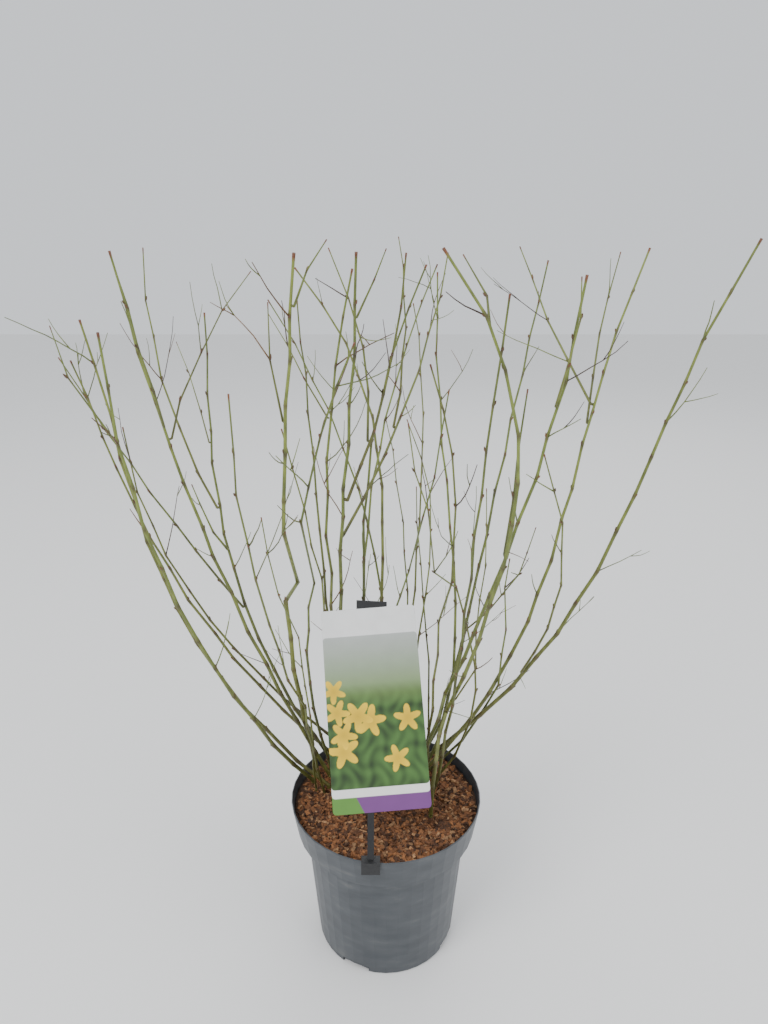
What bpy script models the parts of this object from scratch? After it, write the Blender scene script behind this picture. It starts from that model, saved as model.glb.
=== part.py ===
"""A potted Japanese kerria in its winter rest: a bare, many-stemmed shrub in a five litre nursery pot,
with a picture label on a stick that is clipped over the pot's rim.

Metres, +Z up. The origin is the middle of the pot's flat underside, +X is to the right of the label
and -Y is the side that the label faces. Sizes of the shrub are written in centimetres and millimetres
in its two tables, and turned into metres by CM and MM.
"""

import math
import random

import bmesh
import bpy
from mathutils import Matrix, Vector

CM = 0.01
MM = 0.001
GAP = 0.0003

# The pot, a turned shape with a wide collar over a tapered body
POT_HEIGHT = 0.195
POT_BASE_RADIUS = 0.0835
POT_BASE_EDGE = 0.003
POT_BODY_TOP_RADIUS = 0.095
POT_BODY_TOP = 0.146
POT_COLLAR_RADIUS = 0.106
POT_COLLAR_FOOT = 0.156
POT_RIM_RADIUS = 0.1125
POT_WALL = 0.0017
POT_FLOOR = 0.003
POT_SIDES = 40

# Drainage: four notches in the lowest edge, and round holes in the floor
NOTCH_WIDTH = 0.034
NOTCH_HEIGHT = 0.008
NOTCH_COUNT = 4
NOTCH_FIRST = math.radians(244)
HOLE_RADIUS = 0.006
HOLE_RING = 0.050
HOLE_COUNT = 6

# The potting soil fills the pot to a little under the rim
SOIL_TOP = 0.183

# The picture label, which leans back on its stick
LABEL_WIDTH = 0.107
LABEL_HEIGHT = 0.220
LABEL_THICKNESS = 0.0006
LABEL_LEAN = math.radians(33.7)
LABEL_ROLL = math.radians(4.5)
LABEL_MIDDLE = Vector((-0.0125, -0.0220, 0.3290))

# The stick behind the label, its cross bar and the clip that holds it to the rim
STICK_X = -0.0165
STICK_WIDTH = 0.007
STICK_THICKNESS = 0.0026
STICK_FOOT = POT_HEIGHT + 0.0014
BAR_WIDTH = 0.035
BAR_HEIGHT = 0.010
CLIP_WIDTH = 0.020
CLIP_THICKNESS = 0.0022
CLIP_OUTER_DROP = 0.013
CLIP_INNER_DROP = 0.009

# How the stems grow: a node every few centimetres, with a slight turn at each
INTERNODE = 0.046
ZIGZAG = 0.0013
FOOT_RISE = 0.004
TIP_SHARE = 0.40
STEM_SIDES_RESOLUTION = 1

# Stems that would touch grow round each other, and those behind the label stay behind it
CLEARANCE = 0.0012
CLEARING_ROUNDS = 60
LABEL_CLEARANCE = 0.009
LABEL_SIDE_ROOM = 0.028
LABEL_END_ROOM = 0.045

# Canes rise from the soil. Each row gives the foot (x, y), the tip (x, y, z) and the bow (x, y), by
# which the cane's belly stands off the straight line between them, in centimetres; then the belly's
# place as a share of the cane's rise, and its thickness at the foot in millimetres.
CANES = (
    ("cane_left_sweep", (-7.0, 2.0), (-26.2, -8.0, 75.5), (-6.0, 0.0), 0.42, 4.6),
    ("cane_left_front", (-9.0, 3.0), (-21.5, -17.0, 75.5), (-4.0, -2.0), 0.50, 4.8),
    ("cane_left_far", (-5.5, 6.5), (-31.5, 2.0, 70.5), (-5.0, 0.0), 0.45, 4.2),
    ("cane_left_low", (-4.0, 7.8), (-29.5, 9.0, 62.0), (-6.0, 0.0), 0.50, 3.8),
    ("cane_left_tall", (-7.0, 4.0), (-24.0, -5.0, 81.0), (-2.5, 0.0), 0.50, 5.0),
    ("cane_left_back", (-6.0, 5.0), (-20.5, 14.0, 74.0), (-5.5, 0.0), 0.45, 4.6),
    ("cane_left_whip", (-7.5, 1.0), (-11.5, -20.0, 71.5), (-1.0, -2.0), 0.70, 3.2),
    ("cane_left_short", (-8.5, 1.5), (-11.0, -12.0, 59.0), (0.5, 0.0), 0.30, 2.6),
    ("cane_left_upright", (-8.6, 4.5), (-7.2, -12.5, 81.0), (-2.5, 1.0), 0.45, 6.0),
    ("cane_inner_left", (-5.5, 4.5), (-10.5, 0.0, 64.0), (1.0, 2.0), 0.50, 3.4),
    ("cane_front_left", (-6.5, 3.0), (-2.5, -15.0, 74.5), (-4.5, 1.0), 0.55, 3.8),
    ("cane_back_curl", (-1.5, 6.5), (-14.0, 19.0, 75.0), (6.0, 0.0), 0.50, 3.6),
    ("cane_back_left", (-4.5, 4.0), (-10.0, 14.0, 75.5), (-0.5, 0.0), 0.30, 4.0),
    ("cane_back_cross", (0.5, 4.0), (-11.0, 22.0, 78.5), (6.0, 0.0), 0.68, 5.0),
    ("cane_middle_left", (-4.0, 2.5), (-3.0, -5.0, 79.5), (-3.0, 4.5), 0.55, 4.6),
    ("cane_middle_thick", (-3.0, 3.0), (-2.5, -9.0, 81.0), (-2.5, 5.0), 0.35, 5.6),
    ("cane_middle_right", (-1.5, 3.0), (4.0, 5.0, 79.5), (-4.0, 2.0), 0.60, 4.4),
    ("cane_middle_back", (-0.5, 5.5), (6.0, 19.0, 79.0), (-5.0, 0.0), 0.50, 4.0),
    ("cane_right_thin", (1.5, 3.0), (5.5, -8.0, 69.5), (-3.0, 5.0), 0.30, 3.2),
    ("cane_right_inner", (4.5, 4.0), (5.5, 11.0, 78.5), (3.5, 0.0), 0.30, 4.0),
    ("cane_right_front", (5.0, 2.4), (3.5, -13.0, 72.5), (2.5, 0.5), 0.70, 3.6),
    ("cane_right_cross", (6.0, 3.0), (2.0, -6.0, 66.0), (5.5, 0.0), 0.35, 3.0),
    ("cane_back_short", (2.5, 4.5), (2.5, 15.0, 61.5), (3.0, 0.0), 0.70, 3.0),
    ("cane_back_thin", (1.5, 6.0), (0.0, 24.0, 59.5), (2.0, 0.0), 0.50, 3.0),
    ("cane_back_tall", (2.5, 6.0), (3.5, 26.0, 74.0), (1.5, 0.0), 0.70, 3.4),
    ("cane_right_short", (4.8, 6.8), (3.5, 9.0, 55.0), (1.0, 0.0), 0.30, 2.8),
    ("cane_front_right", (5.5, 0.0), (8.5, -20.0, 78.5), (0.5, -1.0), 0.30, 3.8),
    ("cane_right_back", (4.5, 1.5), (18.5, 17.0, 79.5), (0.5, 0.0), 0.30, 4.4),
    ("cane_front_hook", (5.2, -3.0), (3.8, -20.0, 81.5), (6.4, -1.0), 0.70, 5.0),
    ("cane_right_tall", (3.5, 3.0), (27.0, 8.0, 81.0), (5.0, 0.0), 0.32, 5.0),
    ("cane_right_far", (3.0, 5.2), (33.2, -3.0, 82.0), (6.5, 0.0), 0.35, 5.4),
    ("cane_right_lean", (3.0, 0.5), (15.0, -15.0, 79.5), (1.5, 0.0), 0.70, 5.0),
    ("cane_right_low", (5.6, 5.1), (13.5, 2.0, 49.0), (4.0, 0.0), 0.40, 3.4),
)

# Boughs fork off a cane or another bough. Each row gives what it grows from, the height of the fork,
# the tip (x, y, z) and the bow (x, y) in centimetres, and the thickness at the fork in millimetres.
BOUGHS = (
    ("bough_left_cross", "cane_left_back", 40.0, (-33.5, 4.0, 70.5), (-0.8, 0.0), 3.0),
    ("bough_left_stub", "cane_left_back", 47.0, (-20.5, 2.0, 57.5), (-0.5, 0.0), 3.0),
    ("bough_left_twin", "cane_left_tall", 65.0, (-22.5, -9.5, 81.0), (0.0, 0.0), 2.6),
    ("bough_left_rise", "cane_left_back", 52.0, (-25.5, 10.0, 81.0), (-2.0, 0.0), 3.0),
    ("bough_left_arch", "cane_left_tall", 63.5, (-13.0, 2.0, 79.0), (-1.2, 0.0), 2.2),
    ("bough_left_tuft", "cane_left_back", 59.5, (-24.5, 16.0, 70.5), (0.5, 0.0), 1.8),
    ("bough_left_tip", "cane_left_front", 67.0, (-25.0, -17.0, 76.0), (-0.5, 0.0), 1.8),
    ("bough_upright_fork", "cane_left_upright", 66.5, (-10.0, -8.5, 77.0), (-0.5, 0.0), 2.2),
    ("bough_upright_tip", "cane_left_upright", 77.0, (-4.5, -14.5, 82.0), (-0.5, 0.0), 2.2),
    ("bough_middle_reach", "cane_middle_left", 65.0, (-11.0, -2.0, 75.5), (0.0, 0.0), 1.8),
    ("bough_middle_lean", "cane_middle_right", 61.0, (-6.0, 9.0, 81.0), (1.5, 0.0), 3.0),
    ("bough_middle_top", "bough_middle_lean", 74.0, (0.0, 5.0, 81.0), (0.0, 0.0), 2.6),
    ("bough_middle_front", "cane_middle_thick", 57.0, (1.5, -12.0, 81.0), (1.0, 0.0), 3.4),
    ("bough_middle_far", "cane_middle_thick", 52.0, (6.5, 10.0, 80.5), (1.5, 0.0), 3.4),
    ("bough_back_top", "bough_middle_far", 63.0, (1.5, 22.0, 82.0), (1.0, 0.0), 2.8),
    ("bough_hook_tip", "cane_front_hook", 76.0, (5.5, -16.5, 81.0), (0.5, 0.0), 2.2),
    ("bough_hook_side", "cane_front_hook", 56.0, (11.0, -15.5, 71.0), (0.0, 0.0), 3.0),
    ("bough_lean_tip", "cane_right_lean", 69.0, (14.0, -17.5, 79.5), (0.5, 0.0), 2.2),
    ("bough_tall_fork", "cane_right_tall", 63.0, (25.5, 13.0, 80.5), (-0.5, 0.0), 2.8),
    ("bough_tall_cross", "cane_right_tall", 65.0, (15.0, 16.0, 81.0), (-0.5, 0.0), 3.0),
    ("bough_right_hang", "cane_right_far", 34.0, (13.2, -13.0, 65.0), (3.0, 0.0), 3.0),
    ("bough_right_spur", "cane_right_back", 38.0, (14.0, -8.0, 56.5), (1.5, 0.0), 2.2),
    ("bough_front_whip", "cane_front_right", 37.0, (8.5, -13.0, 62.0), (1.0, 0.0), 2.0),
)


def clear_scene():
    for old in list(bpy.data.objects):
        bpy.data.objects.remove(old, do_unlink=True)


def make_collection(name):
    collection = bpy.data.collections.new(name)
    bpy.context.scene.collection.children.link(collection)
    return collection


def plain_material(name, colour, roughness):
    """A plain Principled surface of one colour."""
    material = bpy.data.materials.new(name)
    material.use_nodes = True
    shader = material.node_tree.nodes["Principled BSDF"]
    shader.inputs["Base Color"].default_value = (*colour, 1.0)
    shader.inputs["Roughness"].default_value = roughness
    shader.inputs["Metallic"].default_value = 0.0
    return material


def add_object(name, data, collection, material):
    piece = bpy.data.objects.new(name, data)
    collection.objects.link(piece)
    if material:
        data.materials.append(material)
    return piece


def turned(name, profile, collection, material, smooth=True):
    """A solid of revolution about Z, from a profile of (radius, height) that starts and ends on the axis."""
    mesh = bpy.data.meshes.new(name)
    points = [(radius, 0.0, height) for radius, height in profile]
    edges = [(i, i + 1) for i in range(len(points) - 1)]
    mesh.from_pydata(points, edges, [])
    piece = add_object(name, mesh, collection, material)
    screw = piece.modifiers.new("turn", "SCREW")
    screw.steps = POT_SIDES
    screw.render_steps = POT_SIDES
    screw.use_merge_vertices = True
    screw.merge_threshold = 0.00005
    screw.use_smooth_shade = smooth
    return piece


def arc(middle, radius, start, end, steps):
    """Points of (radius, height) along part of a circle, with the angles in degrees."""
    points = []
    for i in range(steps + 1):
        angle = math.radians(start + (end - start) * i / steps)
        points.append((middle[0] + radius * math.cos(angle), middle[1] + radius * math.sin(angle)))
    return points


def pot_wall_radius(height):
    """The pot's outer radius at a height: a tapered body, a sloped shoulder and the flared collar."""
    stations = (
        (0.0, POT_BASE_RADIUS),
        (POT_BODY_TOP, POT_BODY_TOP_RADIUS),
        (POT_COLLAR_FOOT, POT_COLLAR_RADIUS),
        (POT_HEIGHT, POT_RIM_RADIUS),
    )
    for (low, low_radius), (high, high_radius) in zip(stations, stations[1:]):
        if height <= high:
            share = (height - low) / (high - low)
            return low_radius + (high_radius - low_radius) * share
    return POT_RIM_RADIUS


def box_cutter(name, size, matrix, collection):
    mesh = bpy.data.meshes.new(name)
    shape = bmesh.new()
    bmesh.ops.create_cube(shape, size=1.0, matrix=matrix @ Matrix.Diagonal((*size, 1.0)))
    shape.to_mesh(mesh)
    shape.free()
    return hide_cutter(add_object(name, mesh, collection, None))


def round_cutter(name, radius, depth, middle, collection):
    mesh = bpy.data.meshes.new(name)
    shape = bmesh.new()
    bmesh.ops.create_cone(
        shape, cap_ends=True, segments=10, radius1=radius, radius2=radius, depth=depth,
        matrix=Matrix.Translation(middle),
    )
    shape.to_mesh(mesh)
    shape.free()
    return hide_cutter(add_object(name, mesh, collection, None))


def hide_cutter(cutter):
    cutter.hide_render = True
    cutter.display_type = "WIRE"
    return cutter


def cut(piece, cutter):
    boolean = piece.modifiers.new("cut", "BOOLEAN")
    boolean.operation = "DIFFERENCE"
    boolean.solver = "EXACT"
    boolean.object = cutter


def make_pot(parts, cutters):
    """The thin-walled pot, turned in one piece, then notched and drilled for drainage."""
    lip = POT_WALL / 2
    inner_floor = pot_wall_radius(POT_FLOOR) - POT_WALL
    profile = [(0.0, POT_FLOOR), (inner_floor, POT_FLOOR)]
    profile.append((POT_BODY_TOP_RADIUS - POT_WALL, POT_BODY_TOP))
    profile.append((POT_COLLAR_RADIUS - POT_WALL, POT_COLLAR_FOOT))
    profile += arc((POT_RIM_RADIUS - lip, POT_HEIGHT - lip), lip, 180, 0, 3)
    profile.append((POT_COLLAR_RADIUS, POT_COLLAR_FOOT))
    profile.append((POT_BODY_TOP_RADIUS, POT_BODY_TOP))
    profile += arc((POT_BASE_RADIUS - POT_BASE_EDGE, POT_BASE_EDGE), POT_BASE_EDGE, 0, -90, 3)
    profile.append((0.0, 0.0))
    material = plain_material("pot_plastic", (0.060, 0.066, 0.074), 0.5)
    pot = turned("pot", profile, parts, material)

    for i in range(NOTCH_COUNT):
        turn = NOTCH_FIRST + math.tau * i / NOTCH_COUNT
        place = Matrix.Rotation(turn, 4, "Z") @ Matrix.Translation((POT_BASE_RADIUS, 0.0, 0.0))
        size = (4 * POT_BASE_EDGE, NOTCH_WIDTH, 2 * NOTCH_HEIGHT)
        cut(pot, box_cutter(f"notch_cutter_{i + 1}", size, place, cutters))
    for i in range(HOLE_COUNT):
        turn = math.tau * (i + 0.5) / HOLE_COUNT
        middle = (HOLE_RING * math.cos(turn), HOLE_RING * math.sin(turn), 0.0)
        cut(pot, round_cutter(f"hole_cutter_{i + 1}", HOLE_RADIUS, 4 * POT_FLOOR, middle, cutters))
    return pot


def make_soil(parts):
    """The body of potting soil, which keeps a hair's gap to the pot."""
    inset = POT_WALL + GAP
    floor = POT_FLOOR + GAP
    profile = [(0.0, SOIL_TOP)]
    for height in (SOIL_TOP, POT_COLLAR_FOOT, POT_BODY_TOP, floor):
        profile.append((pot_wall_radius(height) - inset, height))
    profile.append((0.0, floor))
    return turned("potting_soil", profile, parts, plain_material("bark_soil", (0.16, 0.07, 0.03), 0.95))


def extruded(name, outline, thickness, matrix):
    """A flat outline of (x, y) points given a thickness about its own plane, then placed by a matrix."""
    shape = bmesh.new()
    low = [shape.verts.new((x, y, -thickness / 2)) for x, y in outline]
    face = shape.faces.new(low)
    grown = bmesh.ops.extrude_face_region(shape, geom=[face])
    raised = [item for item in grown["geom"] if isinstance(item, bmesh.types.BMVert)]
    bmesh.ops.translate(shape, verts=raised, vec=(0.0, 0.0, thickness))
    bmesh.ops.recalc_face_normals(shape, faces=shape.faces)
    shape.transform(matrix)
    mesh = bpy.data.meshes.new(name)
    shape.to_mesh(mesh)
    shape.free()
    return mesh


def leaning_plane(lean, roll, middle):
    """A frame whose X runs across, Y up the lean and Z out towards the front."""
    upright = Matrix.Rotation(math.radians(90), 4, "X")
    back = Matrix.Rotation(-lean, 4, "X")
    spin = Matrix.Rotation(roll, 4, "Z")
    return Matrix.Translation(middle) @ back @ upright @ spin


def make_label(parts):
    """The printed card, with round corners."""
    corner = 0.004
    outline = []
    half_width = LABEL_WIDTH / 2 - corner
    half_height = LABEL_HEIGHT / 2 - corner
    for i, (side_x, side_y) in enumerate(((1, 1), (-1, 1), (-1, -1), (1, -1))):
        middle = (side_x * half_width, side_y * half_height)
        outline += arc(middle, corner, 90 * i, 90 * (i + 1), 3)
    place = leaning_plane(LABEL_LEAN, LABEL_ROLL, LABEL_MIDDLE)
    mesh = extruded("plant_label", outline, LABEL_THICKNESS, place)
    material = plain_material("label_card", (0.75, 0.75, 0.73), 0.35)
    return add_object("plant_label", mesh, parts, material)


def label_back(depth):
    """A point on the stick's own line, a depth behind the label's middle."""
    normal = Vector((0.0, math.cos(LABEL_LEAN), -math.sin(LABEL_LEAN)))
    point = LABEL_MIDDLE + normal * depth
    return Vector((STICK_X, point.y, point.z))


def make_label_stick(parts, cutters):
    """The flat stick with its cross bar, one piece with the clip over the rim."""
    depth = (LABEL_THICKNESS + STICK_THICKNESS) / 2 + GAP
    up = Vector((0.0, math.sin(LABEL_LEAN), math.cos(LABEL_LEAN)))
    head = label_back(depth) + up * (LABEL_HEIGHT / 2 + BAR_HEIGHT * 0.9)
    half = STICK_WIDTH / 2
    top = (head.z - STICK_FOOT) / up.z / 2
    bar_foot = top - BAR_HEIGHT
    outline = [
        (-half, -top), (half, -top), (half, bar_foot), (BAR_WIDTH / 2, bar_foot + 0.003),
        (BAR_WIDTH / 2, top - 0.002), (-BAR_WIDTH / 2, top), (-BAR_WIDTH / 2, bar_foot),
        (-half, bar_foot),
    ]
    place = leaning_plane(LABEL_LEAN, 0.0, head - up * top)
    material = plain_material("clip_plastic", (0.006, 0.006, 0.007), 0.4)
    stick = add_object("label_stick", extruded("label_stick", outline, STICK_THICKNESS, place), parts, material)

    near_edge = abs(STICK_X) - CLIP_WIDTH / 2
    far_edge = abs(STICK_X) + CLIP_WIDTH / 2
    crest = POT_HEIGHT + GAP
    inner_radius = pot_wall_radius(crest - CLIP_INNER_DROP) - POT_WALL
    outer = -math.sqrt(POT_RIM_RADIUS ** 2 - near_edge ** 2) - GAP
    inner = -math.sqrt(inner_radius ** 2 - far_edge ** 2) + 2 * GAP
    saddle = [
        (outer - CLIP_THICKNESS, crest - CLIP_OUTER_DROP), (outer, crest - CLIP_OUTER_DROP),
        (outer, crest), (inner, crest), (inner, crest - CLIP_INNER_DROP),
        (inner + CLIP_THICKNESS, crest - CLIP_INNER_DROP), (inner + CLIP_THICKNESS, crest + CLIP_THICKNESS),
        (outer - CLIP_THICKNESS, crest + CLIP_THICKNESS),
    ]
    side_on = Matrix(((0, 0, 1, STICK_X), (1, 0, 0, 0), (0, 1, 0, 0), (0, 0, 0, 1)))
    clip_mesh = extruded("clip_saddle", saddle, CLIP_WIDTH, side_on)
    clip = hide_cutter(add_object("clip_saddle", clip_mesh, cutters, None))
    joined = stick.modifiers.new("join", "BOOLEAN")
    joined.operation = "UNION"
    joined.solver = "EXACT"
    joined.object = clip
    return stick


def hump(share, belly):
    """A smooth rise from 0 to 1 and back over the shares 0 to 1, highest where share is belly."""
    if belly <= 0.5:
        rise, fall = 1.0, (1.0 - belly) / belly
    else:
        rise, fall = belly / (1.0 - belly), 1.0
    peak = belly ** rise * (1.0 - belly) ** fall
    return share ** rise * (1.0 - share) ** fall / peak


def stem_points(name, foot, tip, bow, belly, thickness):
    """Points and radii up a stem: a bowed line with a node at each internode, turned to either side in
    turn. The turns shrink towards the foot and the tip."""
    chance = random.Random(name)
    count = max(2, round((tip - foot).length / INTERNODE))
    heading = chance.uniform(0.0, math.tau)
    points = []
    radii = []
    for i in range(count + 1):
        share = i / count
        if 0 < i < count:
            share += chance.uniform(-0.15, 0.15) / count
        point = foot.lerp(tip, share) + bow * hump(share, belly)
        if 0 < i < count:
            turn = heading + 0.35 * i
            side = 1 if i % 2 else -1
            point += Vector((math.cos(turn), math.sin(turn), 0.0)) * ZIGZAG * side
        points.append(point)
        radii.append(thickness / 2 * (1.0 - (1.0 - TIP_SHARE) * share))
    return points, radii


def at_height(stem, height):
    """The point, direction and radius of a stem where it passes a height."""
    points, radii = stem
    for i in range(len(points) - 1):
        low, high = points[i], points[i + 1]
        if low.z <= height <= high.z:
            share = (height - low.z) / (high.z - low.z)
            radius = radii[i] + (radii[i + 1] - radii[i]) * share
            return low.lerp(high, share), (high - low).normalized(), radius
    raise ValueError(f"no such height on the stem: {height}")


def make_stem(name, points, radii, parts, material):
    """A tapered tube along the points, flat at both ends."""
    curve = bpy.data.curves.new(name, "CURVE")
    curve.dimensions = "3D"
    curve.bevel_depth = MM
    curve.bevel_resolution = STEM_SIDES_RESOLUTION
    curve.use_fill_caps = True
    spline = curve.splines.new("POLY")
    spline.points.add(len(points) - 1)
    for knot, point, radius in zip(spline.points, points, radii):
        knot.co = (*point, 1.0)
        knot.radius = radius / MM
    spline.use_smooth = True
    return add_object(name, curve, parts, material)


def cane_route(name, foot, tip, bow, belly, thickness):
    """A cane from its flat cut on the soil, which first rises straight for a few millimetres."""
    start = Vector((foot[0] * CM, foot[1] * CM, SOIL_TOP + GAP))
    knee = start + Vector((0.0, 0.0, FOOT_RISE))
    sway = Vector((bow[0] * CM, bow[1] * CM, 0.0))
    points, radii = stem_points(name, knee, Vector(tip) * CM, sway, belly, thickness * MM)
    return [start] + points, [radii[0]] + radii


def bough_route(name, parent, height, tip, bow, thickness):
    """A bough that sets off square to its parent, clear of it, and then turns up to its tip."""
    fork, along, parent_radius = at_height(parent, height * CM)
    reach = Vector(tip) * CM - fork
    outward = (reach - along * reach.dot(along)).normalized()
    start = fork + outward * (parent_radius + GAP)
    knee = fork + outward * (parent_radius + GAP + thickness * MM)
    sway = Vector((bow[0] * CM, bow[1] * CM, 0.0))
    points, radii = stem_points(name, knee, Vector(tip) * CM, sway, 0.5, thickness * MM)
    return [start] + points, [radii[0]] + radii


def nearest(low, high, other_low, other_high):
    """Where two straight pieces come closest, as a share of each, and the gap vector from the second."""
    along, other_along, between = high - low, other_high - other_low, low - other_low
    a, b, e = along.dot(along), along.dot(other_along), other_along.dot(other_along)
    c, f = along.dot(between), other_along.dot(between)
    square = a * e - b * b
    share = min(max((b * f - c * e) / square, 0.0), 1.0) if square > 1e-12 else 0.0
    other = (b * share + f) / e
    if not 0.0 <= other <= 1.0:
        other = min(max(other, 0.0), 1.0)
        share = min(max((b * other - c) / a, 0.0), 1.0)
    return share, other, low + along * share - other_low - other_along * other


def tightest(stem, first, others, parent):
    """The closest approach of a stem to the others: the gap, its segment, its share and its direction.
    A bough's first segment is where it meets its parent, which is left out."""
    points, radii = stem
    best = (1.0, 0, 0.0, Vector((0.0, 1.0, 0.0)))
    for name, (other_points, other_radii) in others.items():
        for i in range(first, len(points) - 1):
            if name == parent and i == 0:
                continue
            for k in range(len(other_points) - 1):
                reach = (points[i] - other_points[k]).length
                if reach > 3 * INTERNODE:
                    continue
                share, other, apart = nearest(points[i], points[i + 1], other_points[k], other_points[k + 1])
                radius = radii[i] + (radii[i + 1] - radii[i]) * share
                other_radius = other_radii[k] + (other_radii[k + 1] - other_radii[k]) * other
                gap = apart.length - radius - other_radius
                if gap < best[0]:
                    best = (gap, i, share, apart)
    return best


def stay_behind_label(points, first, into_label):
    """Pushes the points that lie in the label's shadow back behind it."""
    out_of_label = into_label.inverted()
    for i in range(first, len(points)):
        place = into_label @ points[i]
        beside = abs(place.x) < LABEL_WIDTH / 2 + LABEL_SIDE_ROOM
        along = -LABEL_HEIGHT < place.y < LABEL_HEIGHT / 2 + LABEL_END_ROOM
        if beside and along and place.z > -LABEL_CLEARANCE:
            place.z = -LABEL_CLEARANCE
            points[i] = out_of_label @ place


def grow_clear(stem, first, others, parent=None):
    """Bends a stem little by little until it clears the label and every stem that grew before it."""
    points, radii = stem
    into_label = leaning_plane(LABEL_LEAN, LABEL_ROLL, LABEL_MIDDLE).inverted()
    for _ in range(CLEARING_ROUNDS):
        stay_behind_label(points, first, into_label)
        gap, i, share, apart = tightest(stem, 0, others, parent)
        if gap >= CLEARANCE:
            break
        push = Vector((apart.x, apart.y, 0.0))
        if push.length < 0.0001:
            push = Vector((0.0, 1.0, 0.0))
        push = push.normalized() * (CLEARANCE - gap + 0.0002)
        for k, weight in ((i, 1.0 - share), (i + 1, share)):
            if k >= first:
                points[k] = points[k] + push * max(weight, 0.35)
    return points, radii


def shrub_routes():
    """Every cane's and bough's points and radii by name, in the order in which they grow."""
    routes = {}
    for name, foot, tip, bow, belly, thickness in CANES:
        cane = cane_route(name, foot, tip, bow, belly, thickness)
        routes[name] = grow_clear(cane, 2, routes)
    for name, parent, height, tip, bow, thickness in BOUGHS:
        bough = bough_route(name, routes[parent], height, tip, bow, thickness)
        routes[name] = grow_clear(bough, 2, routes, parent)
    return routes


def make_shrub(parts):
    """All canes and boughs, each a solid of its own."""
    for name, (points, radii) in shrub_routes().items():
        green = plain_material(f"{name}_bark", (0.13, 0.19, 0.03), 0.6)
        make_stem(name, points, radii, parts, green)


def main():
    clear_scene()
    parts = make_collection("potted_japanese_kerria")
    cutters = make_collection("cutters")
    make_pot(parts, cutters)
    make_soil(parts)
    make_label(parts)
    make_label_stick(parts, cutters)
    make_shrub(parts)


main()
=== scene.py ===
"""A potted Japanese kerria in its winter rest: bare green canes in a nursery pot, with a picture label.

The stems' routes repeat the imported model's own: a cane runs from its foot to its tip along a straight
line, bowed sideways by a smooth hump, with a slight turn to either side at each node.
"""

import math
import random

import bpy
import numpy as np
from mathutils import Matrix, Vector


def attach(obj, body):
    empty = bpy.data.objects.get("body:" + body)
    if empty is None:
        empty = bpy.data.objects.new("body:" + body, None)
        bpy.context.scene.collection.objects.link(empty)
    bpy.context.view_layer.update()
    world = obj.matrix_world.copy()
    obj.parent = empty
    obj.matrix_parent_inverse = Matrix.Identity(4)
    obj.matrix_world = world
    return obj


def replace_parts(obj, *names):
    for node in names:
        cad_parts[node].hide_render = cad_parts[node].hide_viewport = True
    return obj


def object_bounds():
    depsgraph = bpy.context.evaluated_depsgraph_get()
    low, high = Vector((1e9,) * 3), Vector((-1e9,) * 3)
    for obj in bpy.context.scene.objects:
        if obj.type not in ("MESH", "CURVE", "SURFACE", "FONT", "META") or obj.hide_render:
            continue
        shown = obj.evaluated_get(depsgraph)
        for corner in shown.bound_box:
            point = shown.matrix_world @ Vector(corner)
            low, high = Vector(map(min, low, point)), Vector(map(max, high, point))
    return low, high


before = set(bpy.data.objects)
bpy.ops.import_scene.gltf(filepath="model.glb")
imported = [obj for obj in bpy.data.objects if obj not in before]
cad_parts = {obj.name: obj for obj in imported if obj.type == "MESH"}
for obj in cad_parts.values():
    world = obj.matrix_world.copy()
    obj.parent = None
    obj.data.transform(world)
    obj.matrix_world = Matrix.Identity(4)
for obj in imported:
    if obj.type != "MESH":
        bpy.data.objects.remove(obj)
CAD_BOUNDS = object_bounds()
CHANCE = np.random.default_rng(7)


# Routes of the stems. The real canes are green living wood that rises from one root stock, and they are
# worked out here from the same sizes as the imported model's solids, so that each lies where its solid does.
CM = 0.01
MM = 0.001
GAP = 0.0003

SOIL_TOP = 0.183

# The picture label, which leans back and which the stems behind it keep clear of
LABEL_WIDTH = 0.107
LABEL_HEIGHT = 0.220
LABEL_THICKNESS = 0.0006
LABEL_LEAN = math.radians(33.7)
LABEL_ROLL = math.radians(4.5)
LABEL_MIDDLE = Vector((-0.0125, -0.0220, 0.3290))

# How the stems grow: a node every few centimetres, with a slight turn at each
INTERNODE = 0.046
ZIGZAG = 0.0013
FOOT_RISE = 0.004
TIP_SHARE = 0.40
NODE_SHIFT = 0.15
NODE_TURN = 0.35
BOUGH_BELLY = 0.5

# Stems that would touch grow round each other, and those behind the label stay behind it
CLEARANCE = 0.0012
CLEARING_ROUNDS = 60
SHORTEST_PUSH = 0.0001
PARALLEL = 1e-12
NEIGHBOUR_REACH = 3 * INTERNODE
EXTRA_PUSH = 0.0002
LEAST_WEIGHT = 0.35
FIRST_FREE_POINT = 2
LABEL_CLEARANCE = 0.009
LABEL_SIDE_ROOM = 0.028
LABEL_END_ROOM = 0.045

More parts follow.
